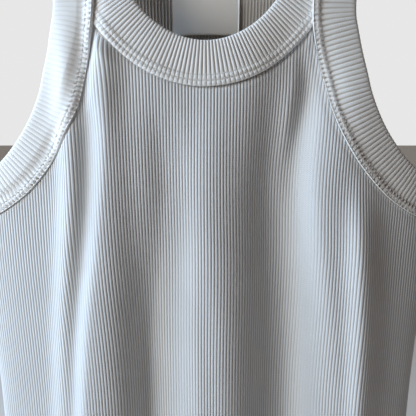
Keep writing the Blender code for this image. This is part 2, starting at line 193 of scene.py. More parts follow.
# The turned hem, from its edge
HEM_DEPTH = 21
HEM_ROWS = (15.5, 19.3)  # its two rows of stitches
HEM_LAYER = 0.9  # what the turned cloth adds inside
HEM_LIFT = 0.35  # and outside
HEM_STEP = 1.5  # the length over which it ends
HEM_ROUNDING = (0.9, 0.6, 0.7)  # how far outside and inside close in at its edge, and reach
STITCH_DIP = 0.55
STITCH_DIP_REACH = 0.55

# Bands: distance from the seam, height over the base surface, depth of the grooves, and 1
# where they are narrow; round the whole section from the seam's edge over the outside
BAND_SECTION = (
    # the lip beside the seam
    (0.9, 0.25, 0, 1), (-0.1, 0.7, 0.1, 1), (-0.35, 1.45, 0.3, 1), (-0.1, 2.2, 0.4, 1),
    (0.5, 2.8, 0.46, 1), (1.5, 3.1, 0.5, 1),
    # the strip with the two rows of stitches
    (2.6, 3.02, 0.5, 1), (3.2, 2.75, 0.42, 1), (3.6, 2.55, 0.3, 1), (4.0, 2.75, 0.42, 1),
    (4.7, 3.02, 0.5, 1), (5.6, 3.1, 0.5, 1), (6.4, 2.98, 0.5, 1), (7.0, 2.7, 0.42, 1),
    (7.4, 2.45, 0.3, 1),
    # the open ribs
    (7.9, 2.5, 0.55, 0), (8.8, 2.6, 0.9, 0), (10.4, 2.64, 1, 0), (12.4, 2.67, 1, 0),
    (14.5, 2.7, 1, 0), (18.5, 2.75, 1, 0), (22.5, 2.7, 1, 0), (26.0, 2.65, 0.95, 0),
    # the folded edge
    (28.6, 2.5, 0.85, 0), (30.0, 2.1, 0.7, 0), (30.6, 1.5, 0.5, 0), (30.6, 0.85, 0.2, 0),
    (30.0, 0.3, -0.2, 0),
    # the inside, whose ribs are the outside's grooves
    (28.4, 0, -0.5, 0), (22.0, -0.1, -0.7, 0), (15.0, -0.1, -0.7, 0), (8.0, -0.05, -0.6, 0),
    (3.0, 0.05, -0.2, 0),
)
# Rows of that section: where the seam's part and the outside end, where the stitched strip
# starts and ends, and from where on the distances rise
SEAM_END, OUTSIDE_END = 17, 23
STITCHED_START, STITCHED_END = 6, 15
RISING_START = 4
SEAM_LIP = 2.6  # the width of a band's edge before its stitches
SEAM_PLAIN = 3.05  # the height of a band's stitched strip without the dips of its stitches
BAND_STITCH_ROWS = (3.6, 7.4)
BAND_STEPS = (0, 0.1, 0.2, 0.34, 0.5, 0.66, 0.8, 0.9)  # columns of a rib, from groove to groove
WIDE_GROOVE = (1, 0.68, 0.26, 0.04, 0, 0.04, 0.26, 0.68)
NARROW_GROOVE = (1, 0.45, 0.1, 0, 0, 0, 0.1, 0.45)
BAND_UNEVEN = (0.18, 45)  # height and length of a band's unevenness
BAND_LINES = 9  # parallel lines that carry a band's surface
EDGE_POINTS = 281  # places along a neck's or an armhole's edge
TURN_POINTS = 41  # and over the shoulder
HEM_POINTS = 400  # and along the hem

# Needle holes: depth, reach, the shares of the depth that they vary between, and the painted shade
# in them
HOLE_DEPTH = 1.0
HOLE_REACH = 0.9
HOLE_SHARES = (0.45, 1)
HOLE_SHADE = 0.8
PIT_REACH = 0.45  # of the painted shade under a row of stitches
VALLEY_SHADE = 0.3  # how much painted shade darkens the cloth for each millimetre of a valley

# Threads: the length of a stitch, and for each band half of a thread's length, how far it
# leans aside over that, and its radius
STITCH_LENGTH = 3.3
NECK_STITCH = (1.39, 0.25, 0.27)
LEFT_ARM_STITCH = (1.2, 0.75, 0.32)
RIGHT_ARM_STITCH = (0.8, 1.3, 0.32)
THREAD_RINGS, THREAD_SIDES = 6, 6
THREAD_CREST = 0.18  # how high its middle stands over the row
THREAD_SAG = 0.7  # how much lower its ends are
THREAD_END = 0.05  # the square of its thickness there, as a share
# How much threads differ: slant, thickness, and place along, beside and over the row
SLANT_SPREAD = 0.13
PLUMPNESS = (0.75, 1.2)
PLACE_SPREAD = (0.22, 0.14, 0.07)

# How the bands differ: the share of the ribs' depth, of the lip's width and of the dips of the
# rows of stitches, how much painted shade darkens the cloth under them, the depth of each row's
# needle holes, and the depth, place and reach of the valley beyond them
NECK_LOOKS = {
    "ribs": 0.62, "lip": 1, "dips": 1, "pit_shade": 0.6,
    "holes": (0, 0), "valley": (0, 0, 1), "stitch": NECK_STITCH,
}
ARM_LOOKS = {"lip": 0.12, "dips": 0.35, "pit_shade": 0}
RIGHT_LOOKS = {
    **ARM_LOOKS,
    "ribs": 0.75, "holes": (0.8, 1.1), "valley": (0.45, 8.2, 3.0), "stitch": RIGHT_ARM_STITCH,
}
LEFT_LOOKS = {
    **ARM_LOOKS,
    "ribs": 0.4, "holes": (1.1, 1.1), "valley": (1.6, 9.2, 1.9), "stitch": LEFT_ARM_STITCH,
}

# Label: gap at the top, how much less its sides stand off, a wave down it (height, radians),
# how far its lower corners drop, and its threads (radians a millimetre)
LABEL_GAP = 0.5
LABEL_CURL = 0.75
LABEL_WAVE = (0.25, 3)
LABEL_DROOP = 0.8
LABEL_THICKNESS = 0.5
LABEL_THREADS = (12.0, 18.0)
LABEL_COLUMNS, LABEL_ROWS = 41, 25

# Hanger: points along the bar and how they close up to its ends, the length and the least
# share of their rounding, points along the hook's arc, neck and stem, and its tip's rounding
BAR_POINTS, BAR_CLOSING = 121, 1.5
BAR_ROUNDING = 4
BAR_END_SHARE = 0.45
BAR_SIDES, WIRE_SIDES = 40, 20
HOOK_POINTS = (61, 25, 8)
HOOK_TIP = (0.4, 0.75, 0.93, 0.99)


def smooth(t):
    """0 below 0, 1 above 1, and a smooth step between."""
    t = np.clip(t, 0, 1)
    return t * t * (3 - 2 * t)


def between(value, low, high):
    """0 below low, 1 above high, and a smooth step between."""
    return smooth((value - low) / (high - low))


def bell(offset, reach):
    """1 in the middle and next to 0 from twice the reach on."""
    return np.exp(-((offset / reach) ** 2))


def unit(vectors):
    return vectors / np.linalg.norm(vectors, axis=-1)[..., None]


def summed(steps):
    """How far along a path each of its points lies."""
    return np.concatenate([[0], np.cumsum(steps)])


def along_path(place, run, values):
    """The values of a path's points read at places along its run."""
    return np.stack([np.interp(place, run, values[:, i]) for i in range(3)], -1)


def run_round(line):
    """How far along a closed line each of its points lies, and its whole length last."""
    return summed(np.linalg.norm(np.roll(line, -1, 0) - line, axis=1))


def spline(nodes, values, t):
    """A smooth curve through the values at the nodes, which rise."""
    nodes = np.asarray(nodes, float)
    values = np.asarray(values, float)
    slopes = np.gradient(values, nodes)
    t = np.clip(t, nodes[0], nodes[-1])
    i = np.clip(np.searchsorted(nodes, t) - 1, 0, len(nodes) - 2)
    step = nodes[i + 1] - nodes[i]
    s = (t - nodes[i]) / step
    rise = s * s * (3 - 2 * s)
    return (
        values[i] * (1 - rise)
        + values[i + 1] * rise
        + step * s * (1 - s) * (slopes[i] * (1 - s) - slopes[i + 1] * s)
    )


# ---- base surface


def bar_drop(x):
    return BAR_SLOPE * (np.sqrt(x * x + BAR_CREST**2) - BAR_CREST)


SHOULDER_LEVEL = BAR_AXIS_AT_CENTRE - float(bar_drop(NECK_HALF))


def half_width(level):
    flare = SHOULDER_FLARE * smooth((level - FLARE_START) / FLARE_REACH)
    return CHEST_HALF + flare - WAIST_TAPER * bell(level - WAIST_LEVEL, WAIST_REACH)


def half_depth(level, back):
    full = (BACK_DEPTH if back else FRONT_DEPTH) - STRAP_TURN
    return STRAP_TURN + full * (1 - 1 / (1 + (level / DEPTH_REACH) ** 2))


def by_fold(amount, x, level, crests, left, right, start):
    """An amount that falls away on both sides of a fold's crest and towards its start."""
    offset = x - spline(FOLD_LEVELS, crests, level)
    growth = smooth((start - level) / FOLD_GROWTH)
    return amount * growth * bell(offset, np.where(offset < 0, left, right))


def fold_height(x, level, folds):
    total = np.zeros(np.broadcast(x, level).shape)
    for crests, heights, *extent in folds:
        height = spline(FOLD_LEVELS, heights, level)
        total += by_fold(height, x, level, crests, *extent)
    return total


def sheet_point(angle, level, back):
    """A point of the base surface below the shoulder's turn."""
    x = half_width(level) * np.sin(angle)
    folds = fold_height(x, level, BACK_FOLDS if back else FRONT_FOLDS)
    outward = half_depth(level, back) * np.cos(angle)
    outward = outward + folds * smooth(SIDE_FADE * np.cos(angle))
    slope = (bar_drop(x) - bar_drop(NECK_HALF)) * smooth(1 + level / SLOPE_REACH)
    return np.stack([x, outward if back else -outward, SHOULDER_LEVEL - slope + level], -1)


def sheet_normals(angle, level, back):
    turn, step = 0.002, 0.5
    across = sheet_point(angle + turn, level, back) - sheet_point(angle - turn, level, back)
    up = sheet_point(angle, level + step, back) - sheet_point(angle, level - step, back)
    return unit(np.cross(up, across) if back else np.cross(across, up))


def turn_point(angle, turn):
    """A point where the cloth passes over the bar: turn is -90 degrees at the front, 90 behind."""
    x = half_width(0.0) * np.sin(angle)
    radius = STRAP_TURN * np.cos(angle)
    slope = bar_drop(x) - bar_drop(NECK_HALF)
    z = SHOULDER_LEVEL - slope + radius * np.cos(turn)
    return np.stack([x, radius * np.sin(turn), z], -1)


QUARTER = np.linspace(0, math.pi / 2, 721)


def quarter_length():
    flatness = MEAN_DEPTH / CHEST_HALF
    steps = np.hypot(np.cos(QUARTER), flatness * np.sin(QUARTER))
    return summed((steps[1:] + steps[:-1]) / 2 * np.diff(QUARTER))


QUARTER_LENGTH = quarter_length()


def angle_at(distance, level):
    """The angle of a place this far from the centre, measured along the tube."""
    share = np.abs(distance) / half_width(level)
    return np.sign(distance) * np.interp(share, QUARTER_LENGTH, QUARTER)


def distance_at(angle, level):
    share = np.interp(np.abs(angle), QUARTER, QUARTER_LENGTH)
    return np.sign(angle) * half_width(level) * share


# ---- seam lines


def neck_edge(drop, out):
    """Half of the neck's edge, moved outwards, from its lowest point to the shoulder."""
    t = np.linspace(0, math.pi / 2, EDGE_POINTS)
    x = NECK_HALF * np.sin(t)
    level = -drop * np.cos(t)
    normal_x = np.sin(t) / NECK_HALF
    normal_z = -np.cos(t) / drop
    size = np.hypot(normal_x, normal_z)
    return np.stack([x + out * normal_x / size, level + out * normal_z / size], -1)


def armhole_edge(out):
    """The armhole seam moved towards the arm, from the shoulder to the side seam."""
    side = CHEST_HALF * QUARTER_LENGTH[-1]
    table = np.array(ARMHOLE_SEAM + ((side, UNDERARM_LEVEL),), float)
    above = (table[1, 0], -table[1, 1])
    beyond = (2 * side - table[-2, 0], table[-2, 1])
    table = np.vstack([above, table, beyond])
    run = summed(np.hypot(*np.diff(table, axis=0).T))
    t = np.linspace(run[1], run[-2], EDGE_POINTS)
    path = np.stack([spline(run, values, t) for values in table.T], -1)
    along = np.gradient(path, axis=0)
    along[0] = (0, -1)
    along[-1] = (1, 0)
    along = unit(along)
    return path + out * np.stack([-along[:, 1], along[:, 0]], -1)


def lower_armhole(out):
    """The armhole's edge from its innermost place down to the side seam."""
    edge = armhole_edge(out)
    return edge[np.argmin(edge[:, 0]) :]


def panel_top(distance, neck_drop):
    """The level of a panel's top edge, under the bands, at each distance from the centre."""
    neck = neck_edge(neck_drop, BAND_WIDTH - LAP)
    arm = lower_armhole(LAP)
    away = np.abs(distance)
    neck_level = np.interp(away, neck[:, 0], neck[:, 1])
    arm_level = np.interp(away, arm[:, 0], arm[:, 1], left=0)
    return np.minimum(neck_level, arm_level)


def from_seam(distance, level, neck_drop=None):
    """How far places of a panel lie from the nearest band's edge; 0 under the bands. Without
    a neck_drop it is measured from the armbands alone."""
    edges = [lower_armhole(0)]
    if neck_drop is not None:
        edges.append(neck_edge(neck_drop, BAND_WIDTH))
    away = np.abs(distance)
    nearest = np.full(distance.shape, np.inf)
    under = np.zeros(distance.shape, bool)
    for edge in edges:
        for i in range(len(away)):
            off = np.hypot(away[i][:, None] - edge[:, 0], level[i][:, None] - edge[:, 1])
            nearest[i] = np.minimum(nearest[i], off.min(1))
        under |= level > np.interp(away, edge[:, 0], edge[:, 1], left=np.inf)
    return np.where(under, 0, nearest)


# ---- meshes


def grid_faces(rows, columns, wrap_rows, wrap_columns):
    r = np.arange(rows if wrap_rows else rows - 1)[:, None]
    c = np.arange(columns if wrap_columns else columns - 1)[None]
    r2, c2 = (r + 1) % rows, (c + 1) % columns
    corners = [r * columns + c, r * columns + c2, r2 * columns + c2, r2 * columns + c]
    return np.stack(np.broadcast_arrays(*corners), -1).reshape(-1, 4)


def add_object(name, data):
    made = bpy.data.objects.new(name, data)
    bpy.context.scene.collection.objects.link(made)
    return made


def make_piece(name, points, faces, material, knit=None):
    """A piece of these points in millimetres; knit is three values that each point holds."""
    mesh = bpy.data.meshes.new(name)
    mesh.from_pydata((points.reshape(-1, 3) * MM).tolist(), [], faces)
    mesh.shade_smooth()
    if knit is not None:
        held = mesh.attributes.new("knit", "FLOAT_VECTOR", "POINT")
        held.data.foreach_set("vector", knit.astype(np.float32).ravel())
    mesh.materials.append(material)
    piece = add_object(name, mesh)
    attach(piece, "root")
    return piece


def waves(a, b, seed, size, count=5):
    """A gentle unevenness of unit height over places a, b, for waves of about this size."""
    draw = np.random.RandomState(seed)
    total = 0
    for _ in range(count):
        turn = draw.uniform(0, 2 * math.pi)
        length = size * draw.uniform(0.7, 1.5)
        shift = draw.uniform(0, 2 * math.pi)
        along = a * math.cos(turn) + b * math.sin(turn)
        total = total + np.sin(2 * math.pi * along / length + shift)
    return total / count


# ---- stitches


def stitch_rows(name, paths, stitch, material):
    """Threads along closed or open paths. A path is its points and its normals; each stitch
    bulges between two needle holes. stitch is half of a thread's length, how far it leans
    aside over that, and its radius."""
    half, lean, radius = stitch
    centres, alongs, normals = [], [], []
    for points, normal in paths:
        run = summed(np.linalg.norm(np.diff(points, axis=0), axis=1))
        count = max(int(run[-1] / STITCH_LENGTH), 1)
        step = run[-1] / count
        middle = (np.arange(count) + 0.5) * step
        reach = 0.4 * step  # to either side, for the row's direction
        ahead = along_path(middle + reach, run, points)
        ahead = ahead - along_path(middle - reach, run, points)
        centres.append(along_path(middle, run, points))
        alongs.append(unit(ahead))
        normals.append(along_path(middle, run, normal))
    centre, along, normal = (np.concatenate(v) for v in (centres, alongs, normals))
    normal = unit(normal - along * (normal * along).sum(1)[:, None])
    beside = np.cross(along, normal)
    draw = np.random.RandomState(len(centre))
    slant = draw.normal(lean, SLANT_SPREAD, len(centre))
    plump = draw.uniform(*PLUMPNESS, len(centre))
    for way, spread in zip((along, beside, normal), PLACE_SPREAD):
        centre = centre + way * draw.normal(0, spread, len(centre))[:, None]
    t = np.linspace(-1, 1, THREAD_RINGS)
    thickness = radius * np.sqrt(np.clip(1 + THREAD_END - t**4, THREAD_END, 1))
    turn = np.arange(THREAD_SIDES) / THREAD_SIDES * 2 * math.pi
    points = np.empty((len(centre), THREAD_RINGS, THREAD_SIDES, 3))
    for i in range(THREAD_RINGS):
        line = (
            centre
            + along * (t[i] * half)
            + beside * (slant * t[i])[:, None]
            + normal * (THREAD_CREST - THREAD_SAG * t[i] ** 2)
        )
        for j in range(THREAD_SIDES):
            points[:, i, j] = line + (thickness[i] * plump)[:, None] * (
                normal * math.cos(turn[j]) + beside * math.sin(turn[j])
            )
    one = grid_faces(THREAD_RINGS, THREAD_SIDES, False, True)
    start = np.arange(len(centre)) * THREAD_RINGS * THREAD_SIDES
    faces = (start[:, None, None] + one[None]).reshape(-1, 4).tolist()
    last = (THREAD_RINGS - 1) * THREAD_SIDES
    for s in start.tolist():
        faces.append([s + j for j in range(THREAD_SIDES)])
        faces.append([s + last + j for j in reversed(range(THREAD_SIDES))])
    return make_piece(name, points, faces, material)


# ---- panels


def panel_columns(back, drop):
    """The ribs laid out: levels, the angle of every rib's columns at each, the columns' tops,
    and each column's place counted in ribs."""
    levels = np.linspace(HEM_LEVEL, SURVEY_TOP, SURVEY_LEVELS)
    angles = np.linspace(-math.pi / 2, math.pi / 2, SURVEY_ANGLES)
    grid = sheet_point(angles[None], levels[:, None], back)
    steps = np.linalg.norm(np.diff(grid[..., :2], axis=1), axis=-1)
    run = np.concatenate([np.zeros((len(levels), 1)), np.cumsum(steps, 1)], 1)
    run -= run[:, [len(angles) // 2]]
    ribs = round((run[0, -1] - run[0, 0]) / BODY_RIB_PITCH)
    count = (np.arange(ribs)[:, None] + np.array(RIB_STEPS)[None]).ravel()
    count = np.append(count, ribs)
    share = 2 * count / ribs - 1
    sway, sway_length = RIB_SWAY
    free = sway * smooth((1 - np.abs(share)) * RIB_SWAY_GROWTH)
    column_angle = np.empty((len(levels), len(count)))
    for i, level in enumerate(levels):
        place = np.where(share < 0, -share * run[i, 0], share * run[i, -1])
        place = place + free * waves(place, level, SWAY_SEED + back, sway_length)
        column_angle[i] = np.interp(place, run[i], angles)
    room = panel_top(distance_at(column_angle, levels[:, None]), drop) - levels[:, None]
    i, c = np.argmax(room < 0, 0), np.arange(len(count))
    part = room[i - 1, c] / (room[i - 1, c] - room[i, c])
    tops = levels[i - 1] + part * (levels[i] - levels[i - 1])
    return levels, column_angle, tops, count


def closing_up(count, share):
    """Shares from 0 to 1 whose steps get shorter."""
    t = np.linspace(0, 1, count)
    return t * (1 + share - share * t)


def panel_rows(tops):
    """The levels of a panel's rows at each column: the outside's, from the top down, and the
    inside's, from the hem up."""
    hem = HEM_LEVEL + np.array(HEM_STEPS)
    low, high = hem[-1], tops - TOP_STEPS[0]
    body = low + closing_up(BODY_ROWS + 1, BODY_CLOSING)[1:-1, None] * (high - low)
    top = tops - np.array(TOP_STEPS)[:, None]
    hem = np.broadcast_to(hem[:, None], (len(hem), len(tops)))
    outside = np.concatenate([hem, body, top])[::-1]
    hem = np.array(INSIDE_STEPS)[:, None] + HEM_LEVEL + 0 * tops
    share = closing_up(INSIDE_ROWS, INSIDE_CLOSING)[:, None]
    body = HEM_LEVEL + INSIDE_START + share * (tops - HEM_LEVEL - INSIDE_START)
    return outside, np.concatenate([hem, body])


def chest_share(level):
    """1 beside the chest and 0 below it, where the front no longer rises to the armbands."""
    return between(level, *RISE_LEVELS)


def pressed_share(angle, distance, off_band, off_arm, back):
    """How much the ribs are pressed flat beside the seams."""
    pressed = 1 - smooth(off_band / PRESS_REACH)
    if not back:
        contact = np.where(distance > 0, RIGHT_CONTACT, LEFT_CONTACT)
        pressed = np.where(off_band >= off_arm, 1 - smooth(off_band / contact), pressed)
    off_side = np.abs(np.abs(angle) - math.pi / 2) * BACK_DEPTH
    return np.maximum(pressed, 1 - smooth(off_side / SIDE_PRESS_REACH))


def panel(name, back, material):
    """A rib-knit panel with a turned hem. The faces run down its outside and up its inside."""
    drop = BACK_NECK_DROP if back else FRONT_NECK_DROP
    levels, column_angle, tops, count = panel_columns(back, drop)
    outside, inside = panel_rows(tops)
    level = np.concatenate([outside, inside])
    rows, columns = level.shape
    is_inside = np.arange(rows)[:, None] >= len(outside)
    angle = np.empty_like(level)
    for c in range(columns):
        angle[:, c] = np.interp(level[:, c], levels, column_angle[:, c])
    distance = distance_at(angle, level)
    off_band = from_seam(distance, level, drop)
    off_arm = from_seam(distance, level)

    swell = np.append(np.tile(RIB_SWELL, (columns - 1) // len(RIB_SWELL)), 0)[None]
    stretch = stretched(half_width(level) * np.sin(angle), level, back)
    if not back:
        share, start, reach = ARM_STRETCH
        by_left_arm = (distance < 0) * (1 - smooth((off_arm - start) / reach))
        stretch = np.maximum(stretch, share * (by_left_arm * chest_share(level)))
    swell = 1 - (1 - swell) * (1 - stretch)

    pressed = pressed_share(angle, distance, off_band, off_arm, back)
    crest = PANEL_CREST + (PANEL_PRESSED[0] - PANEL_CREST) * pressed
    groove = PANEL_GROOVE + (PANEL_PRESSED[1] - PANEL_GROOVE) * pressed
    from_hem = level - HEM_LEVEL
    doubled = 1 - smooth((from_hem - HEM_DEPTH + HEM_STEP) / HEM_STEP)
    dip = sum(bell(from_hem - row, STITCH_DIP_REACH) for row in HEM_ROWS)
    draw_out, draw_in, reach = HEM_ROUNDING
    round_edge = np.exp(-from_hem / reach)
    height = groove + (crest - groove) * swell
    height = height + HEM_LIFT * doubled - STITCH_DIP * dip - draw_out * round_edge
    bump, length = PANEL_UNEVEN
    uneven = bump * waves(distance, level, UNEVEN_SEED + back, length)
    height += uneven * (1 - pressed)
    low, high = PANEL_INSIDE
    inner = high + (low - high) * swell - HEM_LAYER * doubled + draw_in * round_edge
    inner = inner - INSIDE_PRESSED * pressed
    height = np.where(is_inside, inner, height)
    if not back:
        height = height + beside_bands(distance, level, off_band, off_arm)

    points = sheet_point(angle, level, back)
    points = points + sheet_normals(angle, level, back) * height[..., None]
    faces = grid_faces(rows, columns, True, False)
    if back:
        faces = faces[:, ::-1]
    caps = side_cap(len(outside), level[:, 0], 0, columns, back)
    caps += side_cap(len(outside), level[:, -1], columns - 1, columns, not back)
    # painted shade: the inside is shown mostly in the grooves' darker, warmer colour
    dark, light = INSIDE_PAINTED_SHADE
    shown = np.where(is_inside, dark + light * (1 - swell), swell)
    knit = np.stack(np.broadcast_arrays(count[None], level, shown), -1)
    return make_piece(name, points, faces.tolist() + caps, material, knit)


def beside_bands(distance, level, off_band, off_arm):
    """The front's rise beside the armbands and its dip along the neckband."""
    raised = BAND_LIFT * between(level, FRONT_LIFT[1], FRONT_LIFT[0])
    upper = chest_share(level)
    left = (LEFT_RISE * upper + raised) * smooth(off_arm / LEFT_CONTACT)
    left = left * (1 - LEFT_GAIN + LEFT_GAIN * between(off_arm, LEFT_CONTACT, LEFT_CREST))
    left = left * (1 - smooth((off_arm - LEFT_CREST) / LEFT_REACH))
    place, reach, swell = LEFT_SWELL
    left = left + swell * upper * bell(distance - place, reach)
    right = (RIGHT_RISE * upper + raised) * smooth(off_arm / RIGHT_CONTACT)
    right = right * np.clip(1 - off_arm / RIGHT_REACH, 0, 1) ** 2
    rise = np.where(distance < 0, left, right) * smooth(off_band / RISE_REACH)
    dip = NECK_GAP * (1 - smooth(off_band / NECK_GAP_REACH))
    dip = dip * between(distance, NECK_GAP_START, NECK_GAP_FULL)
    return rise - dip * smooth(off_arm / NECK_GAP_OFF_ARM)


def stretched(x, level, back):
    """The share of their depth that the ribs lose where folds stretch the cloth."""
    kept = 1
    for crests, left, right, share, start in BACK_STRETCH if back else FRONT_STRETCH:
        kept = kept * (1 - by_fold(share, x, level, crests, left, right, start))
    return 1 - kept


def side_cap(outside_rows, level, column, columns, flip):
    """Triangles that close a panel's side between its outside rows, which run down, and its
    inside rows, which run up."""
    outer = [r * columns + column for r in range(outside_rows)]
    inner = [r * columns + column for r in range(outside_rows, len(level))][::-1]
    a, b = 0, 0
    faces = []
    while a < len(outer) - 1 or b < len(inner) - 1:
        next_a = level[outer[a + 1] // columns] if a < len(outer) - 1 else -math.inf
        next_b = level[inner[b + 1] // columns] if b < len(inner) - 1 else -math.inf
        if next_a >= next_b:
            faces.append([outer[a], outer[a + 1], inner[b]])
            a += 1
        else:
            faces.append([outer[a], inner[b + 1], inner[b]])
            b += 1
    return [f[::-1] for f in faces] if flip else faces


def hem_stitches(name, back, material):
    end = math.pi / 2 - 0.02  # just short of the side seams
    angles = np.linspace(-end, end, HEM_POINTS)
    paths = []
    for row in HEM_ROWS:
        level = np.full(len(angles), HEM_LEVEL + row)
        normals = sheet_normals(angles, level, back)
        points = sheet_point(angles, level, back)
        points = points + normals * (PANEL_CREST + HEM_LIFT - STITCH_DIP)
        paths.append((points, normals))
    return stitch_rows(name, paths, NECK_STITCH, material)


# ---- bands


def sheet_line(path, back):
    return sheet_point(angle_at(path[:, 0], path[:, 1]), path[:, 1], back)


def turn_line(distance, from_front):
    turns = np.linspace(-math.pi / 2, math.pi / 2, TURN_POINTS)[1:-1]
    angle = angle_at(np.full(len(turns), float(distance)), 0.0)
    return turn_point(angle, turns if from_front else turns[::-1])


def on_side(path, side):
    """A path of the right half, or with side -1 its mirror image."""
    return path * np.array([side, 1])


def neck_line(out):
    front = neck_edge(FRONT_NECK_DROP, out)
    back = neck_edge(BACK_NECK_DROP, out)
    return np.concatenate([
        sheet_line(on_side(front, -1)[::-1], False),
        sheet_line(front[1:], False),
        turn_line(NECK_HALF + out, True),
        sheet_line(back[::-1], True),
        sheet_line(on_side(back, -1)[1:], True),
        turn_line(-NECK_HALF - out, False),
    ])


def armhole_line(out, side):
    path = on_side(armhole_edge(out), side)
    return np.concatenate([
        sheet_line(path[::-1], False),
        turn_line(path[0, 0], True),
        sheet_line(path[:-1], True),
    ])


def ring(lines, place):
    """The points of closed lines at shares of the way round their middle line."""
    run = run_round((lines[0] + lines[-1]) / 2)
    loops = [np.concatenate([line, line[:1]]) for line in lines]
    return np.stack([along_path(place * run[-1], run, loop) for loop in loops]), run[-1]


def across_band(grid, distances):
    """The grid of parallel lines read at distances from the seam."""
    place = np.asarray(distances, float) / BAND_WIDTH * (len(grid) - 1)
    i = np.clip(place.astype(int), 0, len(grid) - 2)
    t = (place - i)[:, None, None]
    return grid[i] * (1 - t) + grid[i + 1] * t


def band(name, lines, pitch, looks, sign, lifts, material, thread):
    """A folded band of rib knit: lines run round the ring, from the seam to the free edge."""
    _, length = ring(lines, np.zeros(1))
    ribs = round(length / pitch)
    count = (np.arange(ribs)[:, None] + np.array(BAND_STEPS)[None]).ravel()
    base, _ = ring(lines, count / ribs)
    across = np.roll(base, -1, 1) - np.roll(base, 1, 1)
    normals = unit(np.cross(across, np.gradient(base, axis=0)) * sign)

    away, height, relief, narrow = np.array(BAND_SECTION, float).T
    index = np.arange(len(away))
    in_seam = index < SEAM_END
    thinner = SEAM_LIP * (1 - looks["lip"])
    moved = np.where(away < SEAM_LIP, away * looks["lip"], away - thinner)
    away = np.where(in_seam, moved, away)
    rows = [row - thinner for row in BAND_STITCH_ROWS]
    stitched = (index >= STITCHED_START) & (index < STITCHED_END)
    height = np.where(stitched, SEAM_PLAIN + (height - SEAM_PLAIN) * looks["dips"], height)
    depth, place, reach = looks["valley"]
    in_valley = (index < OUTSIDE_END) * bell(away - place, reach)
    height = height - depth * in_valley
    relief = (relief * np.where(narrow > 0, 1, looks["ribs"]))[:, None]
    slim, wide = (np.tile(g, ribs)[None] for g in (NARROW_GROOVE, WIDE_GROOVE))
    groove = np.where(narrow[:, None] > 0, slim, wide)

    lift = lifts(base[0])[None]
    bump, bump_length = BAND_UNEVEN
    uneven = bump * waves(count[None] * pitch, away[:, None], len(name), bump_length)
    holes = in_seam[:, None] * needle_holes(base, away, rows, looks["holes"])
    out = height[:, None] - relief * groove + lift + uneven - HOLE_DEPTH * holes
    points = across_band(base, away) + unit(across_band(normals, away)) * out[..., None]
    faces = grid_faces(len(away), len(count), True, True)
    if sign < 0:
        faces = faces[:, ::-1]
    # painted shade: the cloth is darker along the rows of stitches, in the needle holes and in the
    # valley
    pit_shade = sum(bell(away - row, PIT_REACH) for row in rows)
    pit_shade = looks["pit_shade"] * (pit_shade * in_seam)[:, None]
    shown = (1 - np.abs(relief) * groove) * (1 - pit_shade) * (1 - holes) - HOLE_SHADE * holes
    shown = shown * (1 - VALLEY_SHADE * depth * in_valley[:, None])
    knit = np.stack(np.broadcast_arrays(count[None], away[:, None], shown), -1)
    piece = make_piece(name, points, faces.tolist(), material, knit)

    paths = []
    rising = slice(RISING_START, STITCHED_END)
    for row in rows:
        line = across_band(base, [row])[0]
        normal = across_band(normals, [row])[0]
        top = np.interp(row, away[rising], height[rising])
        line = line + normal * (top + lift[0])[:, None]
        paths.append([np.concatenate([v, v[:1]]) for v in (line, normal)])
    seam = stitch_rows(name + "_stitches", paths, looks["stitch"], thread)
    return piece, seam, length


def needle_holes(base, away, rows, shares):
    """How deep the needle holes of a band's rows of stitches are at each of its points."""
    total = 0
    for row, share in zip(rows, shares):
        line = across_band(base, [row])[0]
        run = run_round(line)
        count = max(int(run[-1] / STITCH_LENGTH), 1)
        step = run[-1] / count
        nearest = np.round(run[:-1] / step).astype(int) % count
        along = (run[:-1] / step + 0.5) % 1 - 0.5
        depth = share * np.random.RandomState(count).uniform(*HOLE_SHARES, count)[nearest]
        beside = (away - row)[:, None]
        total = total + depth * np.exp(-(((along * step) ** 2 + beside**2) / HOLE_REACH**2))
    return total


def flat(points):
    return np.zeros(len(points))


def armband_lift(seam):
    level = seam[:, 2] - SHOULDER_LEVEL
    behind = seam[:, 1] > 0
    high, low = (np.where(behind, *levels) for levels in zip(BACK_LIFT, FRONT_LIFT))
    return BAND_LIFT * between(level, low, high)


# ---- label and hanger


def label(material):
    width = np.linspace(-LABEL_WIDTH / 2, LABEL_WIDTH / 2, LABEL_COLUMNS)
    height = np.linspace(LABEL_BOTTOM, LABEL_TOP, LABEL_ROWS)
    distance, level = np.meshgrid(width, height)
    angle = angle_at(distance, level)
    down = (LABEL_TOP - level) / (LABEL_TOP - LABEL_BOTTOM)
    aside = distance / LABEL_WIDTH * 2
    level = level - LABEL_DROOP * down * aside**2
    base = sheet_point(angle, level, True)
    normals = sheet_normals(angle, level, True)
    bulge = down * (1 - LABEL_CURL * aside**2) * LABEL_STANDS_OFF
    wave, turns = LABEL_WAVE
    gap = LABEL_GAP + bulge + wave * np.sin(turns * down)
    near = base - normals * gap[..., None]
    far = near - normals * LABEL_THICKNESS
    rows, columns = level.shape
    points = np.concatenate([near, far[::-1]])
    faces = grid_faces(2 * rows, columns, True, False)[:, ::-1].tolist()
    for column, flip in ((0, False), (columns - 1, True)):
        for r in range(rows - 1):
            strip = (r, r + 1, 2 * rows - 2 - r, 2 * rows - 1 - r)
            face = [row * columns + column for row in strip]
            faces.append(face[::-1] if flip else face)
    knit = np.stack([distance, level, 0 * level], -1)
    knit = np.concatenate([knit, knit[::-1]])
    return make_piece("woven_label", points, faces, material, knit)


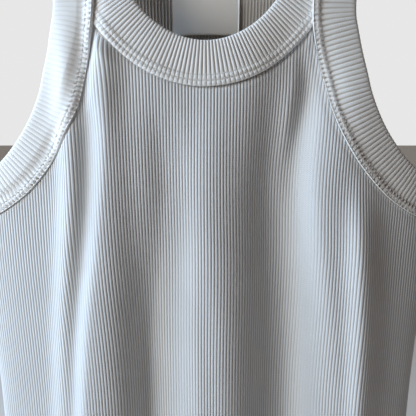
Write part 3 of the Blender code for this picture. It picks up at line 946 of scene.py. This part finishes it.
def tube(name, path, radii, sides, material):
    """A round bar along a path in the XZ plane, with its own radius at each point."""
    along = unit(np.gradient(path, axis=0))
    points = np.empty((len(path), sides, 3))
    for j, angle in enumerate(np.arange(sides) / sides * 2 * math.pi):
        out = radii * math.cos(angle)
        points[:, j, 0] = path[:, 0] - along[:, 1] * out
        points[:, j, 1] = radii * math.sin(angle)
        points[:, j, 2] = path[:, 1] + along[:, 0] * out
    faces = grid_faces(len(path), sides, False, True).tolist()
    last = (len(path) - 1) * sides
    faces.append(list(range(sides))[::-1])
    faces.append([last + j for j in range(sides)])
    return make_piece(name, points, [f[::-1] for f in faces], material)


def hanger_bar(material):
    t = np.linspace(-1, 1, BAR_POINTS)
    x = BAR_HALF_LENGTH * np.sign(t) * (1 - (1 - np.abs(t)) ** BAR_CLOSING)
    path = np.stack([x, BAR_AXIS_AT_CENTRE - bar_drop(x)], -1)
    end = np.clip((BAR_HALF_LENGTH - np.abs(x)) / BAR_ROUNDING, 0, 1)
    share = BAR_END_SHARE + (1 - BAR_END_SHARE) * np.sqrt(1 - (1 - end) ** 2)
    return tube("wood_bar", path, BAR_RADIUS * share, BAR_SIDES, material)


def hanger_hook(material):
    """The wire: an arc round the rail, a curve that leads it back to the centre, and a stem."""
    on_arc, on_neck, on_stem = HOOK_POINTS
    radius = HOOK_INNER_RADIUS + WIRE_RADIUS
    turns = np.radians(np.linspace(*HOOK_ARC, on_arc))
    arc = np.stack([radius * np.cos(turns), radius * np.sin(turns)], -1)
    arc[:, 1] -= HOOK_INNER_RADIUS
    heading = np.array([np.sin(turns[-1]), -np.cos(turns[-1])])
    bend, straight = HOOK_NECK
    a, b = arc[-1], arc[-1] + HOOK_SWING * heading
    c, d = np.array([(0, bend), (0, straight)])
    t = np.linspace(0, 1, on_neck + 1)[1:, None]
    neck = (1 - t) ** 3 * a + 3 * (1 - t) ** 2 * t * b + 3 * (1 - t) * t**2 * c + t**3 * d
    stem = np.linspace((0, straight), (0, BAR_AXIS_AT_CENTRE), on_stem + 1)[1:]
    path = np.concatenate([arc, neck, stem])
    radii = np.full(len(path), float(WIRE_RADIUS))
    radii[: len(HOOK_TIP)] = WIRE_RADIUS * np.array(HOOK_TIP)
    return tube("hook_wire", path, radii, WIRE_SIDES, material)


# ---- materials


def fill(tree, made, **inputs):
    """Fills a node's sockets, by name (or _0, _1 by number), with values or other sockets."""
    for name, value in inputs.items():
        socket = made.inputs[int(name[1:]) if name[0] == "_" else name.replace("_", " ")]
        if isinstance(value, bpy.types.NodeSocket):
            tree.links.new(value, socket)
        else:
            socket.default_value = value


def node(tree, kind, **inputs):
    made = tree.nodes.new("ShaderNode" + kind)
    fill(tree, made, **inputs)
    return made


def maths(tree, operation, a, b=0.0, c=0.0):
    made = node(tree, "Math", _0=a, _1=b, _2=c)
    made.operation = operation
    return made.outputs[0]


def clamped(tree, value):
    return node(tree, "Clamp", Value=value).outputs[0]


def mix_colour(tree, share, a, b, blend="MIX"):
    made = node(tree, "Mix")
    made.data_type = "RGBA"
    made.blend_type = blend
    fill(tree, made, _0=share, _6=a, _7=b)
    return made.outputs[2]


def noise(tree, scale, detail, stretch=None):
    """Noise over the object's own coordinates, which may be stretched first."""
    place = node(tree, "TexCoord").outputs["Object"]
    if stretch:
        place = node(tree, "Mapping", Vector=place, Scale=stretch).outputs[0]
    return node(tree, "TexNoise", Vector=place, Scale=scale, Detail=detail).outputs["Fac"]


def held_values(tree):
    """The three values that a piece's points hold."""
    held = node(tree, "Attribute")
    held.attribute_name = "knit"
    return node(tree, "SeparateXYZ", Vector=held.outputs["Vector"]).outputs


def new_material(name, roughness, metallic=0.0):
    made = bpy.data.materials.new(name)
    made.use_nodes = True
    shader = made.node_tree.nodes["Principled BSDF"]
    fill(made.node_tree, shader, Roughness=roughness, Metallic=metallic)
    return made, made.node_tree, shader


def finish_material(tree, shader, tone, relief, strength, distance):
    """Links a colour and a bump of this strength and distance in metres."""
    bump = node(tree, "Bump", Strength=strength, Distance=distance, Height=relief)
    fill(tree, shader, Base_Color=tone, Normal=bump.outputs[0])


BODY_LOOP, BAND_LOOP = 1.5, 1.7  # the height of one knitted stitch, in millimetres
LOOP_SLANT = 1.6  # stitches that its legs rise over one rib
LOOP_RELIEF, FIBRE_RELIEF = 0.35, 0.5
# Crests and grooves; the grooves' darker, warmer colour is painted shade.
BODY_COLOURS = ((0.74, 0.74, 0.74, 1), (0.41, 0.345, 0.28, 1))  # crests and grooves
# The bands' crests are lighter and warmer than the body's: warmer for the creamier band cloth,
# lighter partly as painted light, standing in for more light falling on the bands. Their grooves
# are painted shade too.
BAND_COLOURS = ((0.87, 0.84, 0.81, 1), (0.58, 0.51, 0.45, 1))
PAINTED_HOLE_SHADE = (0.20, 0.16, 0.12, 1)
THREAD_COLOURS = ((0.52, 0.49, 0.45, 1), (0.84, 0.84, 0.82, 1))
LABEL_COLOURS = ((0.93, 0.86, 0.78, 1), (0.98, 0.92, 0.84, 1))
WOOD_COLOURS = ((0.42, 0.25, 0.13, 1), (0.68, 0.47, 0.29, 1))
FLECK_COLOUR = (0.26, 0.14, 0.07, 1)
WIRE_COLOUR = (0.75, 0.75, 0.76, 1)


def knit_material(name, loop, colours):
    """Rib knit: columns of V stitches on the crests, with painted shade in the grooves and needle
    holes, darker and warmer there.
    """
    made, tree, shader = new_material(name, roughness=0.92)
    rib, length, swell = held_values(tree)
    # the grooves' colour, which is painted shade, up to 0.08 of a rib's height, and the crests'
    # from 0.88
    share = clamped(tree, maths(tree, "MULTIPLY_ADD", swell, 1.25, -0.1))
    tone = mix_colour(tree, share, colours[1], colours[0])
    # painted shade in the needle holes: where the held value falls below 0 the tone turns dark
    # brown
    pit_shade = clamped(tree, maths(tree, "MULTIPLY", swell, -1.0))
    tone = mix_colour(tree, pit_shade, tone, PAINTED_HOLE_SHADE)
    # patches up to 5 percent darker or lighter
    patches = noise(tree, scale=28.0, detail=3.0)
    uneven = maths(tree, "MULTIPLY_ADD", patches, 0.10, 0.95)
    grey = node(tree, "CombineColor", Red=uneven, Green=uneven, Blue=uneven)
    tone = mix_colour(tree, 1.0, tone, grey.outputs[0], "MULTIPLY")
    fill(tree, shader, Sheen_Weight=0.25, Sheen_Roughness=0.45, Specular_IOR_Level=0.2)
    # one V a stitch: two slanted legs that meet on the crest's line
    aside = maths(tree, "ABSOLUTE", maths(tree, "SUBTRACT", maths(tree, "FRACT", rib), 0.5))
    slant = maths(tree, "MULTIPLY", aside, LOOP_SLANT)
    rise = maths(tree, "MULTIPLY_ADD", length, 1 / loop, slant)
    wave = maths(tree, "SINE", maths(tree, "MULTIPLY", rise, 2 * math.pi))
    leg = maths(tree, "MULTIPLY", wave, maths(tree, "MULTIPLY", swell, LOOP_RELIEF))
    fibres = noise(tree, scale=2600.0, detail=2.0)
    relief = maths(tree, "MULTIPLY_ADD", fibres, FIBRE_RELIEF, leg)
    finish_material(tree, shader, tone, relief, strength=0.8, distance=0.00018)
    return made


def thread_material():
    made, tree, shader = new_material("thread", roughness=0.7)
    fine = noise(tree, scale=620.0, detail=2.0)
    tone = mix_colour(tree, fine, *THREAD_COLOURS)
    finish_material(tree, shader, tone, fine, strength=0.5, distance=0.0001)
    return made


def label_material():
    made, tree, shader = new_material("label_weave", roughness=0.6)
    across, down, _ = held_values(tree)
    warp = maths(tree, "SINE", maths(tree, "MULTIPLY", across, LABEL_THREADS[0]))
    weft = maths(tree, "SINE", maths(tree, "MULTIPLY", down, LABEL_THREADS[1]))
    weave = maths(tree, "MULTIPLY", warp, weft)
    share = maths(tree, "MULTIPLY_ADD", weave, 0.5, 0.5)
    tone = mix_colour(tree, share, *LABEL_COLOURS)
    finish_material(tree, shader, tone, weave, strength=0.5, distance=0.0001)
    return made


def wood_material():
    """Beech: grain and darker flecks, both drawn out along the bar."""
    made, tree, shader = new_material("beech", roughness=0.45)
    grain = noise(tree, scale=1.0, detail=5.0, stretch=(12.0, 220.0, 220.0))
    flecks = noise(tree, scale=1.0, detail=1.0, stretch=(90.0, 1500.0, 1500.0))
    fleck = maths(tree, "MULTIPLY", maths(tree, "GREATER_THAN", flecks, 0.66), 0.35)
    tone = mix_colour(tree, fleck, mix_colour(tree, grain, *WOOD_COLOURS), FLECK_COLOUR)
    fill(tree, shader, Coat_Weight=0.25)
    finish_material(tree, shader, tone, grain, strength=0.3, distance=0.0002)
    return made


def wire_material():
    made, tree, shader = new_material("bright_wire", roughness=0.25, metallic=1.0)
    smears = noise(tree, scale=60.0, detail=3.0)
    rough = maths(tree, "MULTIPLY_ADD", smears, 0.2, 0.14)
    fill(tree, shader, Base_Color=WIRE_COLOUR, Roughness=rough)
    return made


# ---- stage, light and camera

FOCAL_PIXELS = 514
PICTURE = 416  # its side, in pixels
SENSOR = 36
CAMERA_PITCH = math.radians(12)
CAMERA_PLACE = (2.1, -395.1, -140.2)  # across, out and level
LIGHT_DISTANCE = 1.5  # metres, as are the lights' size and the floor's
LIGHT_SIZE = (0.62, 0.95)
LIGHTS = (
    # name, degrees left of the front and up, watts, colour
    ("key", 60, 20, 18.9, (0.86, 0.94, 1.0)),
    ("raking", 84, 20, 24.5, (0.44, 0.69, 1.0)),
)
CHEST_LEVEL = -230
FLOOR_HALF, FLOOR_LEVEL = 8, -1.0
FLOOR_COLOUR = (0.82, 0.76, 0.70, 1)
DIM, PALE = (0.041, 0.023, 0.011, 1), (0.80, 0.80, 0.80, 1)  # the surround


def make_camera():
    camera = add_object("camera", bpy.data.cameras.new("camera"))
    camera.data.sensor_width = SENSOR
    camera.data.lens = SENSOR * FOCAL_PIXELS / PICTURE
    across, out, level = CAMERA_PLACE
    camera.location = (across * MM, out * MM, (SHOULDER_LEVEL + level) * MM)
    camera.rotation_euler = (math.pi / 2 - CAMERA_PITCH, 0, 0)
    camera.data.clip_start = 0.01
    bpy.context.scene.camera = camera


def make_light(name, azimuth, elevation, power, colour):
    """A soft light aimed at the chest, from this many degrees left of the front and up."""
    light = add_object(name, bpy.data.lights.new(name, "AREA"))
    light.data.shape = "RECTANGLE"
    light.data.size, light.data.size_y = LIGHT_SIZE
    light.data.energy = power
    light.data.color = colour
    turn, rise = math.radians(azimuth), math.radians(elevation)
    across, up = LIGHT_DISTANCE * math.cos(rise), LIGHT_DISTANCE * math.sin(rise)
    chest = (SHOULDER_LEVEL + CHEST_LEVEL) * MM
    light.location = (-across * math.sin(turn), -across * math.cos(turn), chest + up)
    light.rotation_euler = (math.pi / 2 - rise, 0, -turn)


def make_stage():
    mesh = bpy.data.meshes.new("floor")
    signs = ((-1, -1), (1, -1), (1, 1), (-1, 1))
    corners = [(x * FLOOR_HALF, y * FLOOR_HALF, FLOOR_LEVEL) for x, y in signs]
    mesh.from_pydata(corners, [], [(0, 1, 2, 3)])
    made, tree, shader = new_material("pale_floor", roughness=0.8)
    fill(tree, shader, Base_Color=FLOOR_COLOUR)
    mesh.materials.append(made)
    floor = add_object("floor", mesh)


def make_world():
    """A pale surround, whose front half is dim for the light it gives."""
    world = bpy.data.worlds.new("studio")
    bpy.context.scene.world = world
    world.use_nodes = True
    tree = world.node_tree
    place = node(tree, "TexCoord").outputs["Generated"]
    back = node(tree, "SeparateXYZ", Vector=place).outputs[1]
    behind = node(tree, "MapRange", Value=back, From_Min=0.15, From_Max=0.75).outputs[0]
    seen = node(tree, "LightPath").outputs["Is Camera Ray"]
    tone = mix_colour(tree, maths(tree, "MAXIMUM", behind, seen), DIM, PALE)
    fill(tree, tree.nodes["Background"], Color=tone)


# ---- all


def main():
    bpy.context.scene.view_settings.view_transform = "Standard"
    body_knit = knit_material("body_rib_knit", BODY_LOOP, BODY_COLOURS)
    band_knit = knit_material("band_rib_knit", BAND_LOOP, BAND_COLOURS)
    thread = thread_material()

    front = panel("front", False, body_knit)
    back = panel("back", True, body_knit)
    offsets = np.linspace(0, BAND_WIDTH, BAND_LINES)
    neck_lines = [neck_line(BAND_WIDTH - w) for w in offsets]
    neck, neck_seam, neck_length = band(
        "neck_ribbing", neck_lines, NECK_RIB_PITCH, NECK_LOOKS, 1, flat, band_knit, thread
    )
    for name, side, looks in (("right", 1, RIGHT_LOOKS), ("left", -1, LEFT_LOOKS)):
        band(
            f"{name}_arm_ribbing", [armhole_line(w, side) for w in offsets],
            ARM_RIB_PITCH, looks, -side, armband_lift, band_knit, thread,
        )
    front_hem = hem_stitches("front_hem_stitches", False, thread)
    back_hem = hem_stitches("back_hem_stitches", True, thread)
    tape = label(label_material())
    bar = hanger_bar(wood_material())
    hook = hanger_hook(wire_material())

    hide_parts("front_panel")
    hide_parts("back_panel")
    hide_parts("neckband")
    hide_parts("armband_left")
    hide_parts("armband_right")
    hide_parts("label")
    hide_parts("hanger_bar")
    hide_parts("hanger_hook")

    make_camera()
    make_stage()
    make_world()
    for light in LIGHTS:
        make_light(*light)


main()
